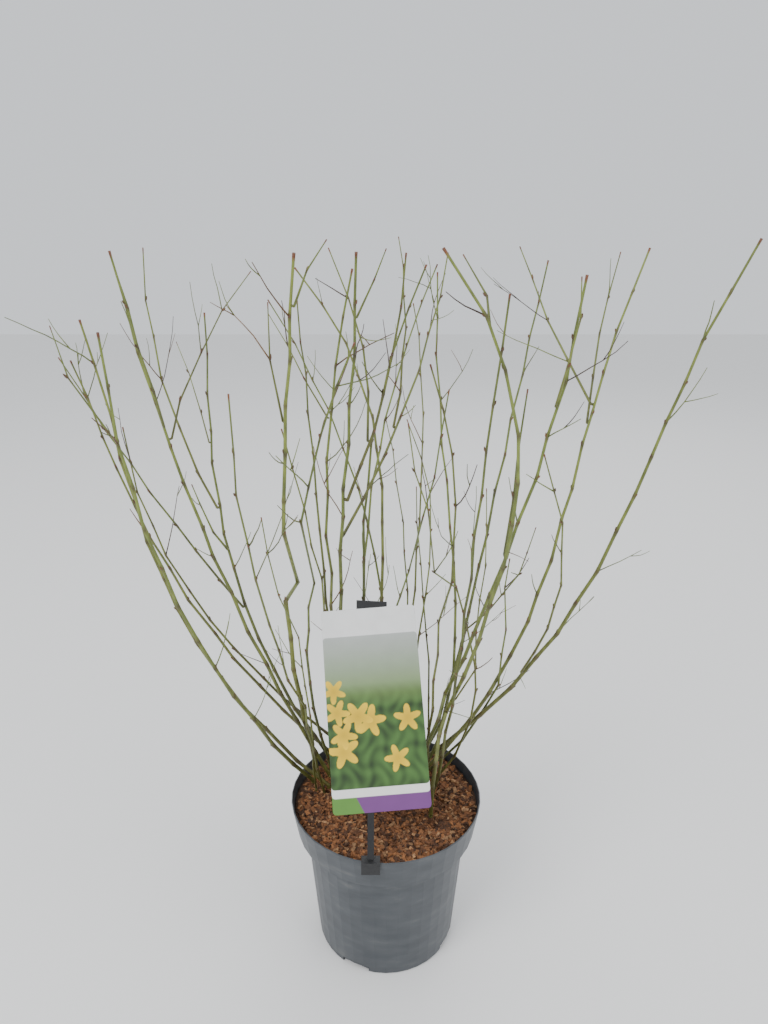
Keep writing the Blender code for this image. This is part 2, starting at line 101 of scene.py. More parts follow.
# Canes rise from the soil. Each row gives the foot (x, y), the tip (x, y, z) and the bow (x, y), by
# which the cane's belly stands off the straight line between them, in centimetres; then the belly's
# place as a share of the cane's rise, and its thickness at the foot in millimetres.
CANES = (
    ("cane_left_sweep", (-7.0, 2.0), (-26.2, -8.0, 75.5), (-6.0, 0.0), 0.42, 4.6),
    ("cane_left_front", (-9.0, 3.0), (-21.5, -17.0, 75.5), (-4.0, -2.0), 0.50, 4.8),
    ("cane_left_far", (-5.5, 6.5), (-31.5, 2.0, 70.5), (-5.0, 0.0), 0.45, 4.2),
    ("cane_left_low", (-4.0, 7.8), (-29.5, 9.0, 62.0), (-6.0, 0.0), 0.50, 3.8),
    ("cane_left_tall", (-7.0, 4.0), (-24.0, -5.0, 81.0), (-2.5, 0.0), 0.50, 5.0),
    ("cane_left_back", (-6.0, 5.0), (-20.5, 14.0, 74.0), (-5.5, 0.0), 0.45, 4.6),
    ("cane_left_whip", (-7.5, 1.0), (-11.5, -20.0, 71.5), (-1.0, -2.0), 0.70, 3.2),
    ("cane_left_short", (-8.5, 1.5), (-11.0, -12.0, 59.0), (0.5, 0.0), 0.30, 2.6),
    ("cane_left_upright", (-8.6, 4.5), (-7.2, -12.5, 81.0), (-2.5, 1.0), 0.45, 6.0),
    ("cane_inner_left", (-5.5, 4.5), (-10.5, 0.0, 64.0), (1.0, 2.0), 0.50, 3.4),
    ("cane_front_left", (-6.5, 3.0), (-2.5, -15.0, 74.5), (-4.5, 1.0), 0.55, 3.8),
    ("cane_back_curl", (-1.5, 6.5), (-14.0, 19.0, 75.0), (6.0, 0.0), 0.50, 3.6),
    ("cane_back_left", (-4.5, 4.0), (-10.0, 14.0, 75.5), (-0.5, 0.0), 0.30, 4.0),
    ("cane_back_cross", (0.5, 4.0), (-11.0, 22.0, 78.5), (6.0, 0.0), 0.68, 5.0),
    ("cane_middle_left", (-4.0, 2.5), (-3.0, -5.0, 79.5), (-3.0, 4.5), 0.55, 4.6),
    ("cane_middle_thick", (-3.0, 3.0), (-2.5, -9.0, 81.0), (-2.5, 5.0), 0.35, 5.6),
    ("cane_middle_right", (-1.5, 3.0), (4.0, 5.0, 79.5), (-4.0, 2.0), 0.60, 4.4),
    ("cane_middle_back", (-0.5, 5.5), (6.0, 19.0, 79.0), (-5.0, 0.0), 0.50, 4.0),
    ("cane_right_thin", (1.5, 3.0), (5.5, -8.0, 69.5), (-3.0, 5.0), 0.30, 3.2),
    ("cane_right_inner", (4.5, 4.0), (5.5, 11.0, 78.5), (3.5, 0.0), 0.30, 4.0),
    ("cane_right_front", (5.0, 2.4), (3.5, -13.0, 72.5), (2.5, 0.5), 0.70, 3.6),
    ("cane_right_cross", (6.0, 3.0), (2.0, -6.0, 66.0), (5.5, 0.0), 0.35, 3.0),
    ("cane_back_short", (2.5, 4.5), (2.5, 15.0, 61.5), (3.0, 0.0), 0.70, 3.0),
    ("cane_back_thin", (1.5, 6.0), (0.0, 24.0, 59.5), (2.0, 0.0), 0.50, 3.0),
    ("cane_back_tall", (2.5, 6.0), (3.5, 26.0, 74.0), (1.5, 0.0), 0.70, 3.4),
    ("cane_right_short", (4.8, 6.8), (3.5, 9.0, 55.0), (1.0, 0.0), 0.30, 2.8),
    ("cane_front_right", (5.5, 0.0), (8.5, -20.0, 78.5), (0.5, -1.0), 0.30, 3.8),
    ("cane_right_back", (4.5, 1.5), (18.5, 17.0, 79.5), (0.5, 0.0), 0.30, 4.4),
    ("cane_front_hook", (5.2, -3.0), (3.8, -20.0, 81.5), (6.4, -1.0), 0.70, 5.0),
    ("cane_right_tall", (3.5, 3.0), (27.0, 8.0, 81.0), (5.0, 0.0), 0.32, 5.0),
    ("cane_right_far", (3.0, 5.2), (33.2, -3.0, 82.0), (6.5, 0.0), 0.35, 5.4),
    ("cane_right_lean", (3.0, 0.5), (15.0, -15.0, 79.5), (1.5, 0.0), 0.70, 5.0),
    ("cane_right_low", (5.6, 5.1), (13.5, 2.0, 49.0), (4.0, 0.0), 0.40, 3.4),
)

# Boughs fork off a cane or another bough. Each row gives what it grows from, the height of the fork,
# the tip (x, y, z) and the bow (x, y) in centimetres, and the thickness at the fork in millimetres.
BOUGHS = (
    ("bough_left_cross", "cane_left_back", 40.0, (-33.5, 4.0, 70.5), (-0.8, 0.0), 3.0),
    ("bough_left_stub", "cane_left_back", 47.0, (-20.5, 2.0, 57.5), (-0.5, 0.0), 3.0),
    ("bough_left_twin", "cane_left_tall", 65.0, (-22.5, -9.5, 81.0), (0.0, 0.0), 2.6),
    ("bough_left_rise", "cane_left_back", 52.0, (-25.5, 10.0, 81.0), (-2.0, 0.0), 3.0),
    ("bough_left_arch", "cane_left_tall", 63.5, (-13.0, 2.0, 79.0), (-1.2, 0.0), 2.2),
    ("bough_left_tuft", "cane_left_back", 59.5, (-24.5, 16.0, 70.5), (0.5, 0.0), 1.8),
    ("bough_left_tip", "cane_left_front", 67.0, (-25.0, -17.0, 76.0), (-0.5, 0.0), 1.8),
    ("bough_upright_fork", "cane_left_upright", 66.5, (-10.0, -8.5, 77.0), (-0.5, 0.0), 2.2),
    ("bough_upright_tip", "cane_left_upright", 77.0, (-4.5, -14.5, 82.0), (-0.5, 0.0), 2.2),
    ("bough_middle_reach", "cane_middle_left", 65.0, (-11.0, -2.0, 75.5), (0.0, 0.0), 1.8),
    ("bough_middle_lean", "cane_middle_right", 61.0, (-6.0, 9.0, 81.0), (1.5, 0.0), 3.0),
    ("bough_middle_top", "bough_middle_lean", 74.0, (0.0, 5.0, 81.0), (0.0, 0.0), 2.6),
    ("bough_middle_front", "cane_middle_thick", 57.0, (1.5, -12.0, 81.0), (1.0, 0.0), 3.4),
    ("bough_middle_far", "cane_middle_thick", 52.0, (6.5, 10.0, 80.5), (1.5, 0.0), 3.4),
    ("bough_back_top", "bough_middle_far", 63.0, (1.5, 22.0, 82.0), (1.0, 0.0), 2.8),
    ("bough_hook_tip", "cane_front_hook", 76.0, (5.5, -16.5, 81.0), (0.5, 0.0), 2.2),
    ("bough_hook_side", "cane_front_hook", 56.0, (11.0, -15.5, 71.0), (0.0, 0.0), 3.0),
    ("bough_lean_tip", "cane_right_lean", 69.0, (14.0, -17.5, 79.5), (0.5, 0.0), 2.2),
    ("bough_tall_fork", "cane_right_tall", 63.0, (25.5, 13.0, 80.5), (-0.5, 0.0), 2.8),
    ("bough_tall_cross", "cane_right_tall", 65.0, (15.0, 16.0, 81.0), (-0.5, 0.0), 3.0),
    ("bough_right_hang", "cane_right_far", 34.0, (13.2, -13.0, 65.0), (3.0, 0.0), 3.0),
    ("bough_right_spur", "cane_right_back", 38.0, (14.0, -8.0, 56.5), (1.5, 0.0), 2.2),
    ("bough_front_whip", "cane_front_right", 37.0, (8.5, -13.0, 62.0), (1.0, 0.0), 2.0),
)


def leaning_plane(lean, roll, middle):
    """A frame whose X runs across, Y up the lean and Z out towards the front."""
    upright = Matrix.Rotation(math.radians(90), 4, "X")
    back = Matrix.Rotation(-lean, 4, "X")
    spin = Matrix.Rotation(roll, 4, "Z")
    return Matrix.Translation(middle) @ back @ upright @ spin


def hump(share, belly):
    """A smooth rise from 0 to 1 and back over the shares 0 to 1, highest where share is belly."""
    if belly <= 0.5:
        rise, fall = 1.0, (1.0 - belly) / belly
    else:
        rise, fall = belly / (1.0 - belly), 1.0
    peak = belly ** rise * (1.0 - belly) ** fall
    return share ** rise * (1.0 - share) ** fall / peak


def stem_points(name, foot, tip, bow, belly, thickness):
    """Points and radii up a stem: a bowed line with a node at each internode, turned to either side in
    turn."""
    chance = random.Random(name)
    count = max(2, round((tip - foot).length / INTERNODE))
    heading = chance.uniform(0.0, math.tau)
    points = []
    radii = []
    for i in range(count + 1):
        share = i / count
        if 0 < i < count:
            share += chance.uniform(-NODE_SHIFT, NODE_SHIFT) / count
        point = foot.lerp(tip, share) + bow * hump(share, belly)
        if 0 < i < count:
            turn = heading + NODE_TURN * i
            side = 1 if i % 2 else -1
            point += Vector((math.cos(turn), math.sin(turn), 0.0)) * ZIGZAG * side
        points.append(point)
        radii.append(thickness / 2 * (1.0 - (1.0 - TIP_SHARE) * share))
    return points, radii


def at_height(stem, height):
    """The point, direction and radius of a stem where it passes a height."""
    points, radii = stem
    for i in range(len(points) - 1):
        low, high = points[i], points[i + 1]
        if low.z <= height <= high.z:
            share = (height - low.z) / (high.z - low.z)
            radius = radii[i] + (radii[i + 1] - radii[i]) * share
            return low.lerp(high, share), (high - low).normalized(), radius
    raise ValueError(f"no such height on the stem: {height}")


def cane_route(name, foot, tip, bow, belly, thickness):
    """A cane from its flat cut on the soil, which first rises straight for a few millimetres."""
    start = Vector((foot[0] * CM, foot[1] * CM, SOIL_TOP + GAP))
    knee = start + Vector((0.0, 0.0, FOOT_RISE))
    sway = Vector((bow[0] * CM, bow[1] * CM, 0.0))
    points, radii = stem_points(name, knee, Vector(tip) * CM, sway, belly, thickness * MM)
    return [start] + points, [radii[0]] + radii


def bough_route(name, parent, height, tip, bow, thickness):
    """A bough that sets off square to its parent, clear of it, and then turns up to its tip."""
    fork, along, parent_radius = at_height(parent, height * CM)
    reach = Vector(tip) * CM - fork
    outward = (reach - along * reach.dot(along)).normalized()
    start = fork + outward * (parent_radius + GAP)
    knee = fork + outward * (parent_radius + GAP + thickness * MM)
    sway = Vector((bow[0] * CM, bow[1] * CM, 0.0))
    points, radii = stem_points(name, knee, Vector(tip) * CM, sway, BOUGH_BELLY, thickness * MM)
    return [start] + points, [radii[0]] + radii


def nearest(low, high, other_low, other_high):
    """Where two straight pieces come closest, as a share of each, and the gap vector from the second."""
    along, other_along, between = high - low, other_high - other_low, low - other_low
    a, b, e = along.dot(along), along.dot(other_along), other_along.dot(other_along)
    c, f = along.dot(between), other_along.dot(between)
    square = a * e - b * b
    share = min(max((b * f - c * e) / square, 0.0), 1.0) if square > PARALLEL else 0.0
    other = (b * share + f) / e
    if not 0.0 <= other <= 1.0:
        other = min(max(other, 0.0), 1.0)
        share = min(max((b * other - c) / a, 0.0), 1.0)
    return share, other, low + along * share - other_low - other_along * other


def tightest(stem, others, parent):
    """The closest approach of a stem to the others: the gap, its segment, its share and its direction.
    A bough's first segment is where it meets its parent, which is left out."""
    points, radii = stem
    best = (1.0, 0, 0.0, Vector((0.0, 1.0, 0.0)))
    for name, (other_points, other_radii) in others.items():
        for i in range(len(points) - 1):
            if name == parent and i == 0:
                continue
            for k in range(len(other_points) - 1):
                low, other_low = points[i], other_points[k]
                if (low - other_low).length > NEIGHBOUR_REACH:
                    continue
                share, other, apart = nearest(low, points[i + 1], other_low, other_points[k + 1])
                radius = radii[i] + (radii[i + 1] - radii[i]) * share
                other_radius = other_radii[k] + (other_radii[k + 1] - other_radii[k]) * other
                gap = apart.length - radius - other_radius
                if gap < best[0]:
                    best = (gap, i, share, apart)
    return best


def stay_behind_label(points, into_label):
    """Pushes the points that lie in the label's shadow back behind it."""
    out_of_label = into_label.inverted()
    for i in range(FIRST_FREE_POINT, len(points)):
        place = into_label @ points[i]
        beside = abs(place.x) < LABEL_WIDTH / 2 + LABEL_SIDE_ROOM
        along = -LABEL_HEIGHT < place.y < LABEL_HEIGHT / 2 + LABEL_END_ROOM
        if beside and along and place.z > -LABEL_CLEARANCE:
            place.z = -LABEL_CLEARANCE
            points[i] = out_of_label @ place


def grow_clear(stem, others, parent=None):
    """Bends a stem little by little until it clears the label and every stem that grew before it. Its
    first two points stay where they are rooted."""
    points, radii = stem
    into_label = leaning_plane(LABEL_LEAN, LABEL_ROLL, LABEL_MIDDLE).inverted()
    for _ in range(CLEARING_ROUNDS):
        stay_behind_label(points, into_label)
        gap, i, share, apart = tightest(stem, others, parent)
        if gap >= CLEARANCE:
            break
        push = Vector((apart.x, apart.y, 0.0))
        if push.length < SHORTEST_PUSH:
            push = Vector((0.0, 1.0, 0.0))
        push = push.normalized() * (CLEARANCE - gap + EXTRA_PUSH)
        for k, weight in ((i, 1.0 - share), (i + 1, share)):
            if k >= FIRST_FREE_POINT:
                points[k] = points[k] + push * max(weight, LEAST_WEIGHT)
    return points, radii


def shrub_routes():
    """Every cane's and bough's points and radii by name, in the order in which they grow."""
    routes = {}
    for name, foot, tip, bow, belly, thickness in CANES:
        cane = cane_route(name, foot, tip, bow, belly, thickness)
        routes[name] = grow_clear(cane, routes)
    for name, parent, height, tip, bow, thickness in BOUGHS:
        bough = bough_route(name, routes[parent], height, tip, bow, thickness)
        routes[name] = grow_clear(bough, routes, parent)
    return routes


# Bark. The canes are green and smooth, darker and browner round each node, with fine long streaks.
# The material mottles an attribute that each stem's mesh carries along its length.
MIX_FIRST_COLOUR, MIX_SECOND_COLOUR, MIX_COLOUR_OUT = 6, 7, 2
CAP_SHARE = 0.02
SIDE_HINT = (0.31, 0.95, 0.02)
MOTTLE_DETAIL = 5.0
MOTTLE_DARK_END, MOTTLE_LIGHT_END = 0.3, 0.7
MOTTLE_RELIEF = 0.4


def shader_of(name, roughness):
    """A new material with a Principled surface; returns it with its nodes, links and shader."""
    material = bpy.data.materials.new(name)
    material.use_nodes = True
    tree = material.node_tree
    shader = tree.nodes["Principled BSDF"]
    shader.inputs["Roughness"].default_value = roughness
    return material, tree.nodes, tree.links, shader


def noise_of(nodes, links, scale, detail, stretch=(1.0, 1.0, 1.0)):
    """Noise on Object coordinates, in metres, squeezed by a factor along each axis."""
    place = nodes.new("ShaderNodeTexCoord")
    mapping = nodes.new("ShaderNodeMapping")
    mapping.inputs["Scale"].default_value = stretch
    noise = nodes.new("ShaderNodeTexNoise")
    noise.inputs["Scale"].default_value = scale
    noise.inputs["Detail"].default_value = detail
    links.new(place.outputs["Object"], mapping.inputs["Vector"])
    links.new(mapping.outputs["Vector"], noise.inputs["Vector"])
    return noise


def ramp_of(nodes, links, source, stops):
    """A colour ramp from (place, colour) stops, fed by a value."""
    ramp = nodes.new("ShaderNodeValToRGB")
    while len(ramp.color_ramp.elements) < len(stops):
        ramp.color_ramp.elements.new(0.5)
    for element, (place, colour) in zip(ramp.color_ramp.elements, stops):
        element.position = place
        element.color = (*colour, 1.0)
    links.new(source, ramp.inputs["Fac"])
    return ramp


def bump_of(nodes, links, source, strength, distance, shader):
    """Relief from a value: its height in metres is the distance, softened by the strength."""
    bump = nodes.new("ShaderNodeBump")
    bump.inputs["Strength"].default_value = strength
    bump.inputs["Distance"].default_value = distance
    links.new(source, bump.inputs["Height"])
    links.new(bump.outputs["Normal"], shader.inputs["Normal"])


def tinted_material(name, roughness, dark, light, scale, stretch, relief):
    """The mesh's own tint, mottled by noise between a dark and a light multiplier, with a fine relief."""
    material, nodes, links, shader = shader_of(name, roughness)
    noise = noise_of(nodes, links, scale, MOTTLE_DETAIL, stretch)
    ramp = ramp_of(nodes, links, noise.outputs["Fac"], (
        (MOTTLE_DARK_END, (dark,) * 3), (MOTTLE_LIGHT_END, (light,) * 3),
    ))
    tint = nodes.new("ShaderNodeVertexColor")
    tint.layer_name = "tint"
    mix = nodes.new("ShaderNodeMix")
    mix.data_type = "RGBA"
    mix.blend_type = "MULTIPLY"
    mix.inputs[0].default_value = 1.0
    links.new(ramp.outputs["Color"], mix.inputs[MIX_FIRST_COLOUR])
    links.new(tint.outputs["Color"], mix.inputs[MIX_SECOND_COLOUR])
    links.new(mix.outputs[MIX_COLOUR_OUT], shader.inputs["Base Color"])
    bump_of(nodes, links, noise.outputs["Fac"], MOTTLE_RELIEF, relief, shader)
    return material


def mesh_piece(name, points, faces, tints, material, smooth=True):
    """One object from arrays: points (n, 3), faces of 3 or 4 points (m, k), and a tint for each point."""
    mesh = bpy.data.meshes.new(name)
    mesh.from_pydata(points, [], faces.tolist())
    colours = np.ones((len(points), 4))
    colours[:, :3] = tints
    layer = mesh.color_attributes.new("tint", "FLOAT_COLOR", "POINT")
    layer.data.foreach_set("color", colours.ravel())
    mesh.materials.append(material)
    mesh.polygons.foreach_set("use_smooth", np.full(len(mesh.polygons), smooth))
    piece = bpy.data.objects.new(name, mesh)
    bpy.context.scene.collection.objects.link(piece)
    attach(piece, "root")
    return piece


class Heap:
    """Many small meshes gathered into one: their points, faces and tints, end to end."""

    def __init__(self):
        self.points, self.faces, self.tints, self.count = [], [], [], 0

    def add(self, points, faces, tints):
        self.points.append(points)
        self.faces.append(faces + self.count)
        self.tints.append(np.broadcast_to(tints, points.shape))
        self.count += len(points)

    def piece(self, name, material, slot, smooth=True):
        return mesh_piece(name, np.concatenate(self.points), np.concatenate(self.faces),
                          np.concatenate(self.tints), material, smooth)


def tube(line, radii, sides):
    """A round tube: each point of the line carries a circle square to the line, turned by a hint that no
    line runs along, and each end is closed by a ring that shrinks almost to its middle. Returns points
    and four-cornered faces."""
    along = np.gradient(line, axis=0)
    along /= np.linalg.norm(along, axis=1)[:, None]
    side = np.cross(along, SIDE_HINT)
    side /= np.linalg.norm(side, axis=1)[:, None]
    other = np.cross(along, side)
    line = np.concatenate((line[:1], line, line[-1:]))
    side = np.concatenate((side[:1], side, side[-1:]))
    other = np.concatenate((other[:1], other, other[-1:]))
    radii = np.concatenate(([radii[0] * CAP_SHARE], radii, [radii[-1] * CAP_SHARE]))
    turn = np.arange(sides) * math.tau / sides
    ring = side[:, None] * np.cos(turn)[None, :, None] + other[:, None] * np.sin(turn)[None, :, None]
    points = (line[:, None] + ring * radii[:, None, None]).reshape(-1, 3)
    row = np.arange(len(line) - 1)[:, None] * sides
    a = row + np.arange(sides)
    b = row + (np.arange(sides) + 1) % sides
    faces = np.stack((a, b, b + sides, a + sides), axis=2).reshape(-1, 4)
    caps = [np.arange(sides)[::-1], np.arange(sides) + (len(line) - 1) * sides]
    cap_faces = np.array([cap[[0, i, i + 1, i + 2]] for cap in caps for i in range(1, sides - 2, 2)])
    return points, np.concatenate((faces, cap_faces))


# Stems. Each cane and bough of the frame is replaced by a round one on the same line, with a swollen,
# browner joint at each node; the colour runs from dull olive at the foot to fresh green higher up.
BARK = tinted_material(
    "green_bark", roughness=0.5, dark=0.55, light=1.25, scale=160.0, stretch=(1.0, 1.0, 0.2), relief=0.0005,
)
STEM_SIDES = 12
STEPS_PER_NODE = 9
NODE_SWELL = 0.20
OLD_BARK = np.array((0.085, 0.088, 0.022))
YOUNG_BARK = np.array((0.150, 0.190, 0.035))
NODE_BARK = np.array((0.070, 0.045, 0.018))
CUT_TIP_BARK = (0.160, 0.055, 0.020)
YELLOWING = np.array((0.06, 0.02, 0.0))
NODE_WIDTH = 0.075
NODE_CROWDING = 0.55
NODE_DARKENING = 0.75
YOUNG_FROM = 1.4
PLAIN_FOOT = 1.5
STEM_TONES = (0.7, 1.2)
YELLOWING_SHARES = (0.0, 0.35)


def smooth_line(points, radii, steps):
    """A finer line through the same nodes, its steps crowded towards them by a sine. Also returned are
    the radius, a bell curve that is one at each node above the plain foot, and the share of the way up."""
    knots = np.array([list(p) for p in points])
    shares = np.arange((len(knots) - 1) * steps + 1) / steps
    shares = shares - np.sin(shares * math.tau) / math.tau * NODE_CROWDING
    line = np.stack([np.interp(shares, np.arange(len(knots)), knots[:, i]) for i in range(3)], axis=1)
    radius = np.interp(shares, np.arange(len(knots)), radii)
    near = np.exp(-((shares - np.round(shares)) / NODE_WIDTH) ** 2)
    near[shares < PLAIN_FOOT] = 0.0
    return line, radius, near, shares / shares[-1]


stems = {"canes": Heap(), "boughs": Heap()}
ROUTES = shrub_routes()
for name, (points, radii) in ROUTES.items():
    line, radius, near, share = smooth_line(points, radii, STEPS_PER_NODE)
    tone = CHANCE.uniform(*STEM_TONES)
    yellow = CHANCE.uniform(*YELLOWING_SHARES)
    green = OLD_BARK + (YOUNG_BARK - OLD_BARK) * np.clip(share * YOUNG_FROM, 0, 1)[:, None]
    green = green * tone + YELLOWING * yellow
    tint = green + (NODE_BARK - green) * (near * NODE_DARKENING)[:, None]
    tint[-2:] = CUT_TIP_BARK
    radius = radius * (1.0 + NODE_SWELL * near)
    shape, faces = tube(line, radius, STEM_SIDES)
    tint = np.repeat(np.concatenate((tint[:1], tint, tint[-1:])), STEM_SIDES, axis=0)
    stems["canes" if name.startswith("cane") else "boughs"].add(shape, faces, tint)
for kind, heap in stems.items():
    piece = heap.piece(f"bark_{kind}", BARK, "green_bark")
    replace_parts(piece, *[name for name in ROUTES if name.startswith(kind[:-1])])


# Twigs and buds. A twig sets off from a node at a sharp angle, bends up, and may fork once; a bud sits
# at each node. Length, lean and colour are dealt out by a seeded draw, and none leaves the crown's box.
TWIG_SIDES = 6
TWIG_STEP = 0.012
TWIG_LEAST_STEPS = 4
TWIG_TAPER = 0.45
TWIG_LENGTHS = (0.02, 0.09)
TWIG_THICKNESSES = (0.0011, 0.0017)
TWIG_OUTWARD, TWIG_ALONG = 0.75, 0.8
TWIG_LIFTS = (-0.1, 0.9)
TWIG_WANDER = 0.07
TWIG_CHANCE_LOW, TWIG_CHANCE_RISE = 0.12, 0.30
FORKING_LENGTH = 0.05
MOST_FORKS = 2
FORK_SPREAD = 0.6
FORK_LENGTHS = (0.3, 0.6)
FORK_THINNING = 0.75
LOWEST_TWIG = 0.28
LOW, HIGH = np.array(CAD_BOUNDS[0]), np.array(CAD_BOUNDS[1])
TWIG_TINTS = np.array((
    (0.140, 0.170, 0.035), (0.105, 0.115, 0.030), (0.130, 0.065, 0.020), (0.055, 0.032, 0.018),
))
TWIG_SHARES = (0.4, 0.25, 0.2, 0.15)
TWIG_TONES = (0.75, 1.2)
BUD_RADII = np.array((0.0008, 0.0011, 0.0006, 0.0001))
BUD_STATIONS = np.array((0.0, 0.4, 0.8, 1.0))
BUD_TINT = np.array((0.12, 0.055, 0.022))
BUD_TONES = (0.7, 1.3)
BUD_LENGTHS = (0.003, 0.0055)
BUD_STAND_OFF = 0.0016
BUD_ROOT = 0.6
BUD_TILT = 0.1


def twig_line(start, heading, length, lift):
    """A thin line that starts along its heading, turns up by lift, and turns a little at each joint."""
    count = max(TWIG_LEAST_STEPS, int(length / TWIG_STEP))
    step = length / count
    line = [start]
    for i in range(count):
        heading = heading + np.array((0.0, 0.0, lift / count)) + CHANCE.normal(0.0, TWIG_WANDER, 3)
        heading = heading / np.linalg.norm(heading)
        line.append(line[-1] + heading * step)
    return np.array(line), heading


def fits(line):
    """Whether a line stays inside the crown's box."""
    return bool((line > LOW).all() and (line < HIGH).all())


twigs, buds = Heap(), Heap()


def grow_twig(start, heading, length, thickness, depth):
    """A tapering twig, and the shorter, thinner ones that fork off it down to a depth."""
    line, end_heading = twig_line(start, heading, length, CHANCE.uniform(*TWIG_LIFTS))
    if not fits(line):
        return
    radii = thickness / 2 * np.linspace(1.0, TWIG_TAPER, len(line))
    shape, faces = tube(line, radii, TWIG_SIDES)
    shade = TWIG_TINTS[CHANCE.choice(len(TWIG_TINTS), p=TWIG_SHARES)] * CHANCE.uniform(*TWIG_TONES)
    twigs.add(shape, faces, shade)
    if depth and length > FORKING_LENGTH:
        for _ in range(CHANCE.integers(1, MOST_FORKS + 1)):
            at = CHANCE.integers(len(line) // 3, len(line) - 1)
            turn = end_heading + CHANCE.normal(0.0, FORK_SPREAD, 3)
            grow_twig(line[at], turn / np.linalg.norm(turn), length * CHANCE.uniform(*FORK_LENGTHS),
                      thickness * FORK_THINNING, depth - 1)


def add_bud(place, along, radius):
    """A small pointed bud: a tube that swells and then tapers, held close against the stem."""
    turn = CHANCE.uniform(0.0, math.tau)
    out = np.cross(along, (math.cos(turn), math.sin(turn), BUD_TILT))
    out = out / np.linalg.norm(out)
    foot = place + out * radius * BUD_ROOT
    tip = foot + out * BUD_STAND_OFF + along * CHANCE.uniform(*BUD_LENGTHS)
    line = foot + (tip - foot) * BUD_STATIONS[:, None]
    shape, faces = tube(line, BUD_RADII, TWIG_SIDES)
    buds.add(shape, faces, BUD_TINT * CHANCE.uniform(*BUD_TONES))


for name, (points, radii) in ROUTES.items():
    knots = np.array([list(p) for p in points])
    for i in range(FIRST_FREE_POINT, len(knots) - 1):
        along = knots[i + 1] - knots[i - 1]
        along = along / np.linalg.norm(along)
        add_bud(knots[i], along, radii[i])
        share = i / len(knots)
        if CHANCE.random() < TWIG_CHANCE_LOW + TWIG_CHANCE_RISE * share and knots[i][2] > LOWEST_TWIG:
            turn = CHANCE.uniform(0.0, math.tau)
            out = np.cross(along, (math.cos(turn), math.sin(turn), 0.0))
            out = out / np.linalg.norm(out)
            grow_twig(knots[i], out * TWIG_OUTWARD + along * TWIG_ALONG, CHANCE.uniform(*TWIG_LENGTHS),
                      CHANCE.uniform(*TWIG_THICKNESSES), depth=1)
twigs.piece("thin_twigs", BARK, "green_bark")
buds.piece("winter_buds", BARK, "green_bark")


# Potting soil. A lumpy bed of damp bark under a loose layer of chips, orange-brown to nearly black. It is
# kept just inside the wall of the pot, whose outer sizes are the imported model's own.
POT_HEIGHT = 0.195
POT_BASE_RADIUS = 0.0835
POT_BODY_TOP_RADIUS = 0.095
POT_BODY_TOP = 0.146
POT_COLLAR_RADIUS = 0.106
POT_COLLAR_FOOT = 0.156
POT_RIM_RADIUS = 0.1125
POT_WALL = 0.0017
SOIL = tinted_material(
    "bark_soil", roughness=0.9, dark=0.6, light=1.35, scale=420.0, stretch=(1.0, 1.0, 1.0), relief=0.0012,
)
SOIL_INSET = 0.0006
SOIL_RINGS, SOIL_SPOKES = 60, 180
SOIL_SKIRT = 0.012
SOIL_SETTLED = 0.0005
SWELL_HEIGHT, LUMP_HEIGHT = 0.0016, 0.0007
BED_TINT = np.array((0.050, 0.022, 0.010))
NEAR_MIDDLE = 0.002
CHIP_COUNT = 4200
CHIP_RAISE = 0.0006
CHIP_SKEW = 0.28
CHIP_TIPPING = 0.35
CHIP_EDGE_ROOM = 0.004
CHIP_TONES = (0.7, 1.3)
CHIP_SIZES = ((0.0012, 0.0055), (0.0008, 0.0024), (0.0004, 0.0012))
CHIP_TINTS = np.array((
    (0.210, 0.085, 0.030), (0.130, 0.052, 0.020), (0.060, 0.026, 0.012), (0.280, 0.150, 0.070),
))
CHIP_SHARES = (0.34, 0.32, 0.22, 0.12)
CUBE = np.array([(x, y, z) for x in (-1, 1) for y in (-1, 1) for z in (-1, 1)], dtype=float)
CUBE_FACES = np.array(((0, 1, 3, 2), (4, 6, 7, 5), (0, 4, 5, 1), (2, 3, 7, 6), (0, 2, 6, 4), (1, 5, 7, 3)))


def pot_wall_radius(height):
    """The pot's outer radius at a height: a tapered body, a sloped shoulder and the flared collar."""
    stations = (
        (0.0, POT_BASE_RADIUS),
        (POT_BODY_TOP, POT_BODY_TOP_RADIUS),
        (POT_COLLAR_FOOT, POT_COLLAR_RADIUS),
        (POT_HEIGHT, POT_RIM_RADIUS),
    )
    for (low, low_radius), (high, high_radius) in zip(stations, stations[1:]):
        if height <= high:
            share = (height - low) / (high - low)
            return low_radius + (high_radius - low_radius) * share
    return POT_RIM_RADIUS


SOIL_RADIUS = pot_wall_radius(SOIL_TOP) - POT_WALL - SOIL_INSET


def soil_height(x, y):
    """Slow swells plus finer lumps: sines of unlike lengths and turns added together. The numbers that
    multiply x and y are how tight each wave is, in radians to the metre."""
    slow = np.sin(x * 61 + 1.3) * np.cos(y * 53 + 0.4) * SWELL_HEIGHT
    fine = np.sin(x * 310 + y * 190) * np.cos(y * 350 - x * 120) * LUMP_HEIGHT
    return SOIL_TOP - SOIL_SETTLED + slow + fine


